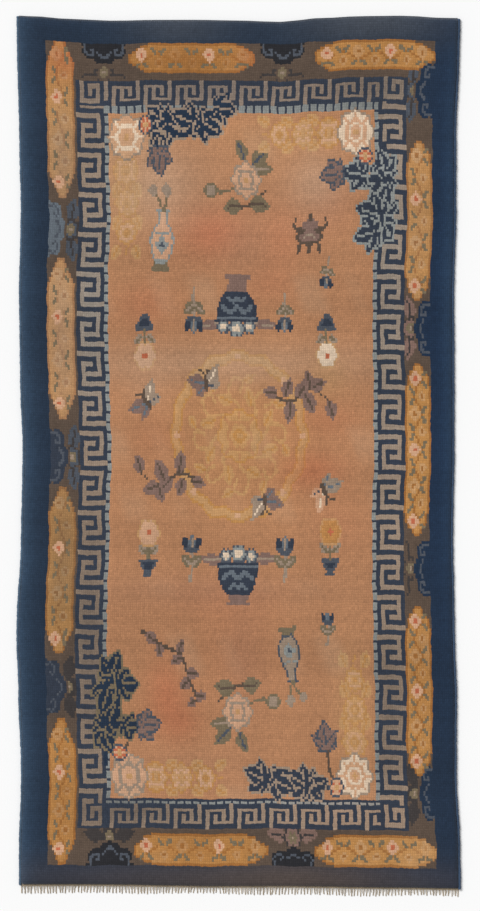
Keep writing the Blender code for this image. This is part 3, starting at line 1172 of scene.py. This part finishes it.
def make_pile(outline, chart, material):
    """The knotted pile: a closed body with a face for each knot, lower at its edges, grooved at changes."""
    rng = np.random.default_rng(SEED + 1)
    mesh, column, row, level = knot_sheet("wool_pile", PILE_LEVELS)
    insets = (SELVEDGE_INSET, FAR_WEB_WIDTH, NEAR_WEB_WIDTH)
    x, y, across, along = spread_on_floor(outline, column, row, insets)
    from_side = (1 - np.abs(across)) * outline.half_width
    from_end = (1 - np.abs(along)) * outline.half_length
    inside = np.minimum(from_side, from_end)
    free = (inside / DRIFT_MARGIN).clip(0, 1)
    shift = rng.normal(0, KNOT_DRIFT, (2, ROWS + 1, COLUMNS + 1))[:, row, column]
    drift_x = LINE_DRIFT * waves(y, *DRIFT_ACROSS) + shift[0]
    drift_y = LINE_DRIFT * waves(x, *DRIFT_ALONG) + shift[1]
    x = x + drift_x * free
    y = y + drift_y * free
    lumps = waves(x + LUMP_SLANT * y, *LUMPS_SLANTED) * waves(y, *LUMPS_ALONG)
    own = rng.normal(0, KNOT_HEIGHT, (ROWS + 1, COLUMNS + 1))[row, column]
    groove = GROOVE_DEPTH * changes_of_wool(chart)[row, column]
    edge = (1 - inside / PILE_EDGE_WIDTH).clip(0, 1)
    top = PILE_TOP_Z + LUMP_HEIGHT * lumps + own - groove - PILE_EDGE_DROP * edge**2
    set_points(mesh, x, y, top + (PILE_BASE_Z - top) * level / PILE_LEVELS)
    paint_knots(mesh, column, row, knot_colours(chart))
    knot_uvs(mesh, column, row, level, PILE_LEVELS)
    mesh.shade_smooth()
    return new_piece("wool_pile", mesh, material)


def make_ground(outline, chart, material):
    """The woven ground: a thin slab whose underside shows the back of every knot."""
    mesh, column, row, level = knot_sheet("woven_ground", 1)
    insets = (GROUND_INSET, FAR_WEB_WIDTH + GROUND_TUCK, NEAR_WEB_WIDTH + GROUND_TUCK)
    x, y, _, _ = spread_on_floor(outline, column, row, insets)
    set_points(mesh, x, y, np.where(level == 0, BACK_Z, GROUND_TOP_Z))
    mesh.flip_normals()
    paint_knots(mesh, column, row, knot_colours(chart, faded=False))
    knot_uvs(mesh, column, row, level, 1)
    return new_piece("woven_ground", mesh, material)


def tubes_mesh(name, tubes):
    """One mesh of closed tubes. Each tube is an array of rings of points, all rings with as many points."""
    points, faces, start = [], [], 0
    for rings in tubes:
        count, sides = rings.shape[:2]
        number = start + np.arange(count * sides).reshape(count, sides)
        beside = np.roll(number, -1, axis=1)
        walls = np.stack([number[:-1], beside[:-1], beside[1:], number[1:]], axis=-1)
        faces += walls.reshape(-1, 4).tolist()
        faces += [number[0][::-1].tolist(), number[-1].tolist()]
        points.append(rings.reshape(-1, 3))
        start += count * sides
    mesh = bpy.data.meshes.new(name)
    mesh.from_pydata(np.concatenate(points), [], faces)
    mesh.shade_smooth()
    return mesh


def rings_along_y(centres, radius):
    """Rings round a line that runs along Y. The radii have a row for each ring, a column for each side."""
    sides = radius.shape[1]
    angle = -2 * pi * np.arange(sides) / sides
    x = centres[:, 0:1] + radius * np.cos(angle)
    y = np.repeat(centres[:, 1:2], sides, axis=1)
    z = centres[:, 2:3] + radius * np.sin(angle)
    return np.stack([x, y, z], axis=-1)


def make_selvedge(outline, side, material):
    """One long edge: the outer warps bundled and overcast with wool, wrap beside wrap."""
    rng = np.random.default_rng(SEED + 2 + side)
    wraps = round(2 * outline.half_length / WRAP_PITCH)
    step = np.arange(wraps * WRAP_STEPS + 1)
    along = np.linspace(-1, 1, len(step)) * (1 - SELVEDGE_END / outline.half_length)
    y = outline.place(np.full(along.shape, side * 1.0), along)[1]
    edge = outline.right(y) if side > 0 else outline.left(y)
    loose = waves(y, LOOSE_WRAPS, (1.0 + side, 3.0, 0.2)) * WRAP_DRIFT
    x = edge - side * (SELVEDGE_RADIUS + WRAP_DRIFT) + loose
    angle = -2 * pi * np.arange(WRAP_SIDES) / WRAP_SIDES
    turn = 2 * pi * step[:, None] / WRAP_STEPS + side * WRAP_SLANT * np.cos(angle)[None, :]
    own = 1 + rng.normal(0, WRAP_SPREAD, wraps + 1)[step // WRAP_STEPS]
    ridge = 1 - WRAP_DEPTH * (1 - np.abs(np.sin(turn / 2))) ** WRAP_ROUNDNESS
    ends = np.minimum((1 - np.abs(along)) * outline.half_length / SELVEDGE_RADIUS, 1)
    taper = SELVEDGE_END_WIDTH + (1 - SELVEDGE_END_WIDTH) * ends
    radius = SELVEDGE_RADIUS * ridge * own[:, None] * taper[:, None]
    z = np.maximum(BACK_Z + SELVEDGE_RADIUS, radius.max(axis=1))
    rings = rings_along_y(np.column_stack((x, y, z)), radius)
    name = "selvedge_right" if side > 0 else "selvedge_left"
    return new_piece(name, tubes_mesh(name, [rings]), material)


def make_web(outline, name, end, width, material):
    """A narrow woven end: a few ribs of weft that run across the carpet over the warps."""
    step = np.arange(COLUMNS * 2 + 1)
    across = np.linspace(-1, 1, len(step)) * (1 - SELVEDGE_INSET / outline.half_width)
    middle_x = outline.middle[0] + across * outline.half_width
    edge = outline.far(middle_x) if end > 0 else outline.near(middle_x)
    x, _ = outline.place(across, np.full(across.shape, end * 1.0))
    angle = 2 * pi * np.arange(WEB_SIDES) / WEB_SIDES
    radius = width / WEB_RIBS / 2 * WEB_OVERLAP
    tubes = []
    for rib in range(WEB_RIBS):
        y = edge - end * (radius + rib * width / WEB_RIBS)
        z = WEB_HEIGHT / 2 + BACK_Z + np.cos(pi * (step + rib)) * WEB_WAVE
        ring_x = np.repeat(x[:, None], WEB_SIDES, axis=1)
        ring_y = y[:, None] + radius * np.cos(angle)
        ring_z = z[:, None] + (WEB_HEIGHT / 2 - WEB_WAVE) * np.sin(angle)
        tubes.append(np.stack([ring_x, ring_y, ring_z], axis=-1))
    return new_piece(name, tubes_mesh(name, tubes), material)


def strand_rings(root, tip, radius, turn, plies):
    """The plies of one twisted warp end, from its root to its tip, lying on the floor."""
    length = np.linalg.norm(tip - root)
    count = max(FEWEST_STEPS, round(length / PLY_TWIST * PLY_STEPS))
    share = np.linspace(0, 1, count + 1)
    line = root + (tip - root) * share[:, None]
    off = radius * PLY_OFFSET * (plies > 1)
    fray = 1 + PLY_FRAY * share**4
    wide = np.full((count + 1, PLY_SIDES), radius) * np.where(share > TIP_START, TIP_WIDTH, 1)[:, None]
    tubes = []
    for ply in range(plies):
        angle = 2 * pi * (share * length / PLY_TWIST + ply / plies) + turn
        centres = line + np.column_stack((off * fray * np.cos(angle), 0 * angle, off * np.sin(angle)))
        centres[:, 2] = np.maximum(centres[:, 2], radius * PLY_LIFT)
        tubes.append(rings_along_y(centres, wide))
    return tubes


def make_fringe(outline, material):
    """The worn ends of the warps: as many two-ply strands as the solid has, and thin ones between."""
    rng = np.random.default_rng(SEED + 5)
    near_y = outline.near_points[:, 1].mean()
    first = outline.left(near_y) + FRINGE_MARGIN
    last = outline.right(near_y) - FRINGE_MARGIN
    tubes = []
    for number, x in enumerate(np.linspace(first, last, 2 * STRANDS - 1)):
        main = number % 2 == 0
        strand = number / 2
        run = sin(0.13 * strand + 0.5) * sin(0.047 * strand + 2.0)
        length = STRAND_LENGTH + STRAND_LENGTH_SPREAD * (0.7 * run + 0.3 * sin(2.4 * strand))
        length *= 1 if main else rng.uniform(*FINE_LENGTHS)
        lean = STRAND_LEAN * (sin(1.7 * strand) + sin(0.21 * strand))
        lean += rng.normal(0, STRAND_LEAN * OWN_LEAN)
        radius = PLY_RADIUS * (1 if main else FINE_STRAND) * rng.uniform(*YARN_WIDTHS)
        y = float(outline.near(x))
        root = np.array([x, y + STRAND_ROOT, WEB_HEIGHT / 2])
        tip = np.array([x + lean, y - length, radius * TIP_LIFT])
        tubes += strand_rings(root, tip, radius, rng.uniform(0, 2 * pi), 2 if main else 1)
    return new_piece("warp_fringe", tubes_mesh("warp_fringe", tubes), material)


# Materials


def new_material(name, colour, roughness, sheen=0.0, sheen_roughness=0.5):
    material = bpy.data.materials.new(name)
    material.use_nodes = True
    shader = material.node_tree.nodes["Principled BSDF"]
    shader.inputs["Base Color"].default_value = (*linear(colour), 1)
    shader.inputs["Roughness"].default_value = roughness
    shader.inputs["Specular IOR Level"].default_value = 0.2
    shader.inputs["Sheen Weight"].default_value = sheen
    shader.inputs["Sheen Roughness"].default_value = sheen_roughness
    return material, material.node_tree, shader


def add_node(tree, kind, sockets, **settings):
    """Adds a node with its settings, and gives each named input a value or a link."""
    node = tree.nodes.new(kind)
    for setting, value in settings.items():
        setattr(node, setting, value)
    for socket, value in sockets.items():
        if isinstance(value, bpy.types.NodeSocket):
            tree.links.new(value, node.inputs[socket])
        else:
            node.inputs[socket].default_value = value
    return node


def math_node(tree, operation, first, second=0.0):
    return add_node(tree, "ShaderNodeMath", {0: first, 1: second}, operation=operation).outputs[0]


def noise(tree, scale, stretch, detail):
    """Fine unevenness fixed to the object, so many bumps to the metre, stretched along its axes."""
    place = tree.nodes.new("ShaderNodeTexCoord").outputs["Object"]
    place = add_node(tree, "ShaderNodeMapping", {"Vector": place, "Scale": stretch}).outputs[0]
    sockets = {"Vector": place, "Scale": scale, "Detail": detail}
    return add_node(tree, "ShaderNodeTexNoise", sockets).outputs[0]


def spread(tree, value, low, high, new_low, new_high):
    sockets = {"Value": value, "From Min": low, "From Max": high, "To Min": new_low, "To Max": new_high}
    return add_node(tree, "ShaderNodeMapRange", sockets).outputs[0]


def mottle_and_paint_shade(tree, shader, colour, broad, fine):
    """Gives the shader a colour made lighter and darker by two patterns; on the pile and the back the first
    is painted shade between the knots.

    Each pattern has its values, two of them, low and high, and the tones that the colour has at those.
    """
    tone = math_node(tree, "MULTIPLY", spread(tree, *broad), spread(tree, *fine))
    toned = add_node(tree, "ShaderNodeVectorMath", {0: colour, 1: tone}, operation="MULTIPLY")
    tree.links.new(toned.outputs[0], shader.inputs["Base Color"])


def raise_bumps(tree, shader, *layers):
    """Lays bumps over each other: for each its height pattern, its distance and its strength."""
    normal = None
    for height, distance, strength in layers:
        sockets = {"Height": height, "Distance": distance, "Strength": strength}
        if normal:
            sockets["Normal"] = normal
        normal = add_node(tree, "ShaderNodeBump", sockets).outputs[0]
    tree.links.new(normal, shader.inputs["Normal"])


def knot_pattern(tree):
    """Each knot's own colour, and how near a point is to its row's middle and to its knot's, 0 to 1."""
    dye = add_node(tree, "ShaderNodeVertexColor", {}, layer_name="wool").outputs[0]
    place = add_node(tree, "ShaderNodeUVMap", {}, uv_map="Knots").outputs[0]
    place = add_node(tree, "ShaderNodeSeparateXYZ", {0: place})
    half_turns = [math_node(tree, "MULTIPLY", knots, pi) for knots in place.outputs[:2]]
    across, along = [math_node(tree, "ABSOLUTE", math_node(tree, "SINE", turns)) for turns in half_turns]
    return dye, along, math_node(tree, "MULTIPLY", across, along)


def pile_material():
    """Cut wool pile: each knot a soft tuft of its own colour, with painted shade in the gaps between tufts,
    fine fibres and a low sheen.
    """
    material, tree, shader = new_material("knotted_wool", (180, 130, 95), 0.93,
                                          sheen=0.18, sheen_roughness=0.45)
    dye, _, tuft = knot_pattern(tree)
    fibre = noise(tree, PILE_FIBRES, (1, 0.6, 1), 3)
    # Painted shade: the colour darkens towards the gaps between the tufts.
    mottle_and_paint_shade(tree, shader, dye, (tuft, *TUFT_GAP_PAINTED_SHADE), (fibre, *PILE_FIBRE_TONE))
    raise_bumps(tree, shader, (tuft, *TUFT_BUMP), (fibre, *PILE_FIBRE_BUMP))
    return material


def back_material():
    """The back of the knots: each a small flat bead of wool, with the cotton weft between the rows and
    painted shade round each bead's edge.
    """
    material, tree, shader = new_material("woven_back", (150, 115, 90), 0.9, sheen=0.1)
    dye, along, bead = knot_pattern(tree)
    weft = spread(tree, along, *WEFT_EDGE)
    cotton = (*linear(WEFT_COTTON), 1)
    yarn = add_node(tree, "ShaderNodeMix", {"Factor": weft, 6: dye, 7: cotton}, data_type="RGBA").outputs[2]
    fibre = noise(tree, BACK_FIBRES, (1, 1, 1), 3)
    # Painted shade: the colour darkens round each bead's edge and over the weft between the beads.
    mottle_and_paint_shade(tree, shader, yarn, (bead, *BEAD_EDGE_PAINTED_SHADE), (fibre, *BACK_FIBRE_TONE))
    raise_bumps(tree, shader, (bead, *BEAD_BUMP), (fibre, *BACK_FIBRE_BUMP))
    return material


def yarn_material(name, colour, change, fibres):
    """Plied yarn: streaks of lighter and darker fibre along it."""
    material, tree, shader = new_material(name, colour, 0.9, sheen=0.15)
    streaks = noise(tree, YARN_STREAKS, (1, 0.5, 1), 2)
    fibre = noise(tree, fibres, (1, 0.4, 1), 3)
    broad = (streaks, *GRAIN_ENDS, 1 - change, 1 + change)
    mottle_and_paint_shade(tree, shader, tuple(linear(colour)), broad, (fibre, *YARN_FIBRE_TONE))
    raise_bumps(tree, shader, (fibre, *YARN_FIBRE_BUMP))
    return material


# The studio


def make_floor():
    mesh = bpy.data.meshes.new("floor")
    half = FLOOR_SIZE / 2
    mesh.from_pydata([(x * half, y * half, 0) for x, y in CORNERS.values()], [], [(0, 1, 2, 3)])
    material, _, _ = new_material("pale_floor", (247, 247, 247), 0.9)
    new_piece("floor", mesh, material)


def make_light():
    sun = bpy.data.lights.new("soft_light", "SUN")
    sun.energy = SUN_STRENGTH
    sun.angle = radians(SUN_SOFTNESS)
    lamp = bpy.data.objects.new("soft_light", sun)
    lamp.rotation_euler = Euler((radians(SUN_TILT_X), radians(SUN_TILT_Y), 0))
    bpy.context.scene.collection.objects.link(lamp)
    world = bpy.data.worlds.new("studio")
    world.use_nodes = True
    background = world.node_tree.nodes["Background"]
    background.inputs["Color"].default_value = WHITE
    background.inputs["Strength"].default_value = WORLD_STRENGTH
    bpy.context.scene.world = world
    bpy.context.scene.view_settings.view_transform = "Standard"


def make_camera():
    data = bpy.data.cameras.new("camera")
    data.sensor_width = SENSOR
    data.lens = SENSOR * CAMERA_Z / VIEW_LENGTH
    data.clip_end = CAMERA_REACH
    camera = bpy.data.objects.new("camera", data)
    camera.location = (CAMERA_X, CAMERA_Y, CAMERA_Z)
    bpy.context.scene.collection.objects.link(camera)
    bpy.context.scene.camera = camera


def main():
    clear_scene()
    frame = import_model()
    outline = Outline(frame["nodes"]["carpet"])
    chart = draw_chart()

    pile = make_pile(outline, chart, pile_material())
    ground = make_ground(outline, chart, back_material())
    denim = yarn_material("overcast_denim", (72, 92, 112), 0.12, SELVEDGE_FIBRES)
    blue = yarn_material("overcast_blue", (58, 76, 100), 0.12, SELVEDGE_FIBRES)
    selvedges = [make_selvedge(outline, -1, denim), make_selvedge(outline, 1, blue)]
    end_wool = yarn_material("end_wool", (88, 94, 104), 0.12, SELVEDGE_FIBRES)
    far_web = make_web(outline, "far_web", 1, FAR_WEB_WIDTH, end_wool)
    cotton = yarn_material("cotton_yarn", (176, 160, 136), 0.10, COTTON_FIBRES)
    near_web = make_web(outline, "near_web", -1, NEAR_WEB_WIDTH, cotton)
    fringe = make_fringe(outline, cotton)

    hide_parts("carpet")
    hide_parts("fringe")
    for piece in [pile, ground, far_web, *selvedges]:
        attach(piece, "root")
    for piece in (near_web, fringe):
        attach(piece, "root")

    make_floor()
    make_light()
    make_camera()
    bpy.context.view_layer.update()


main()
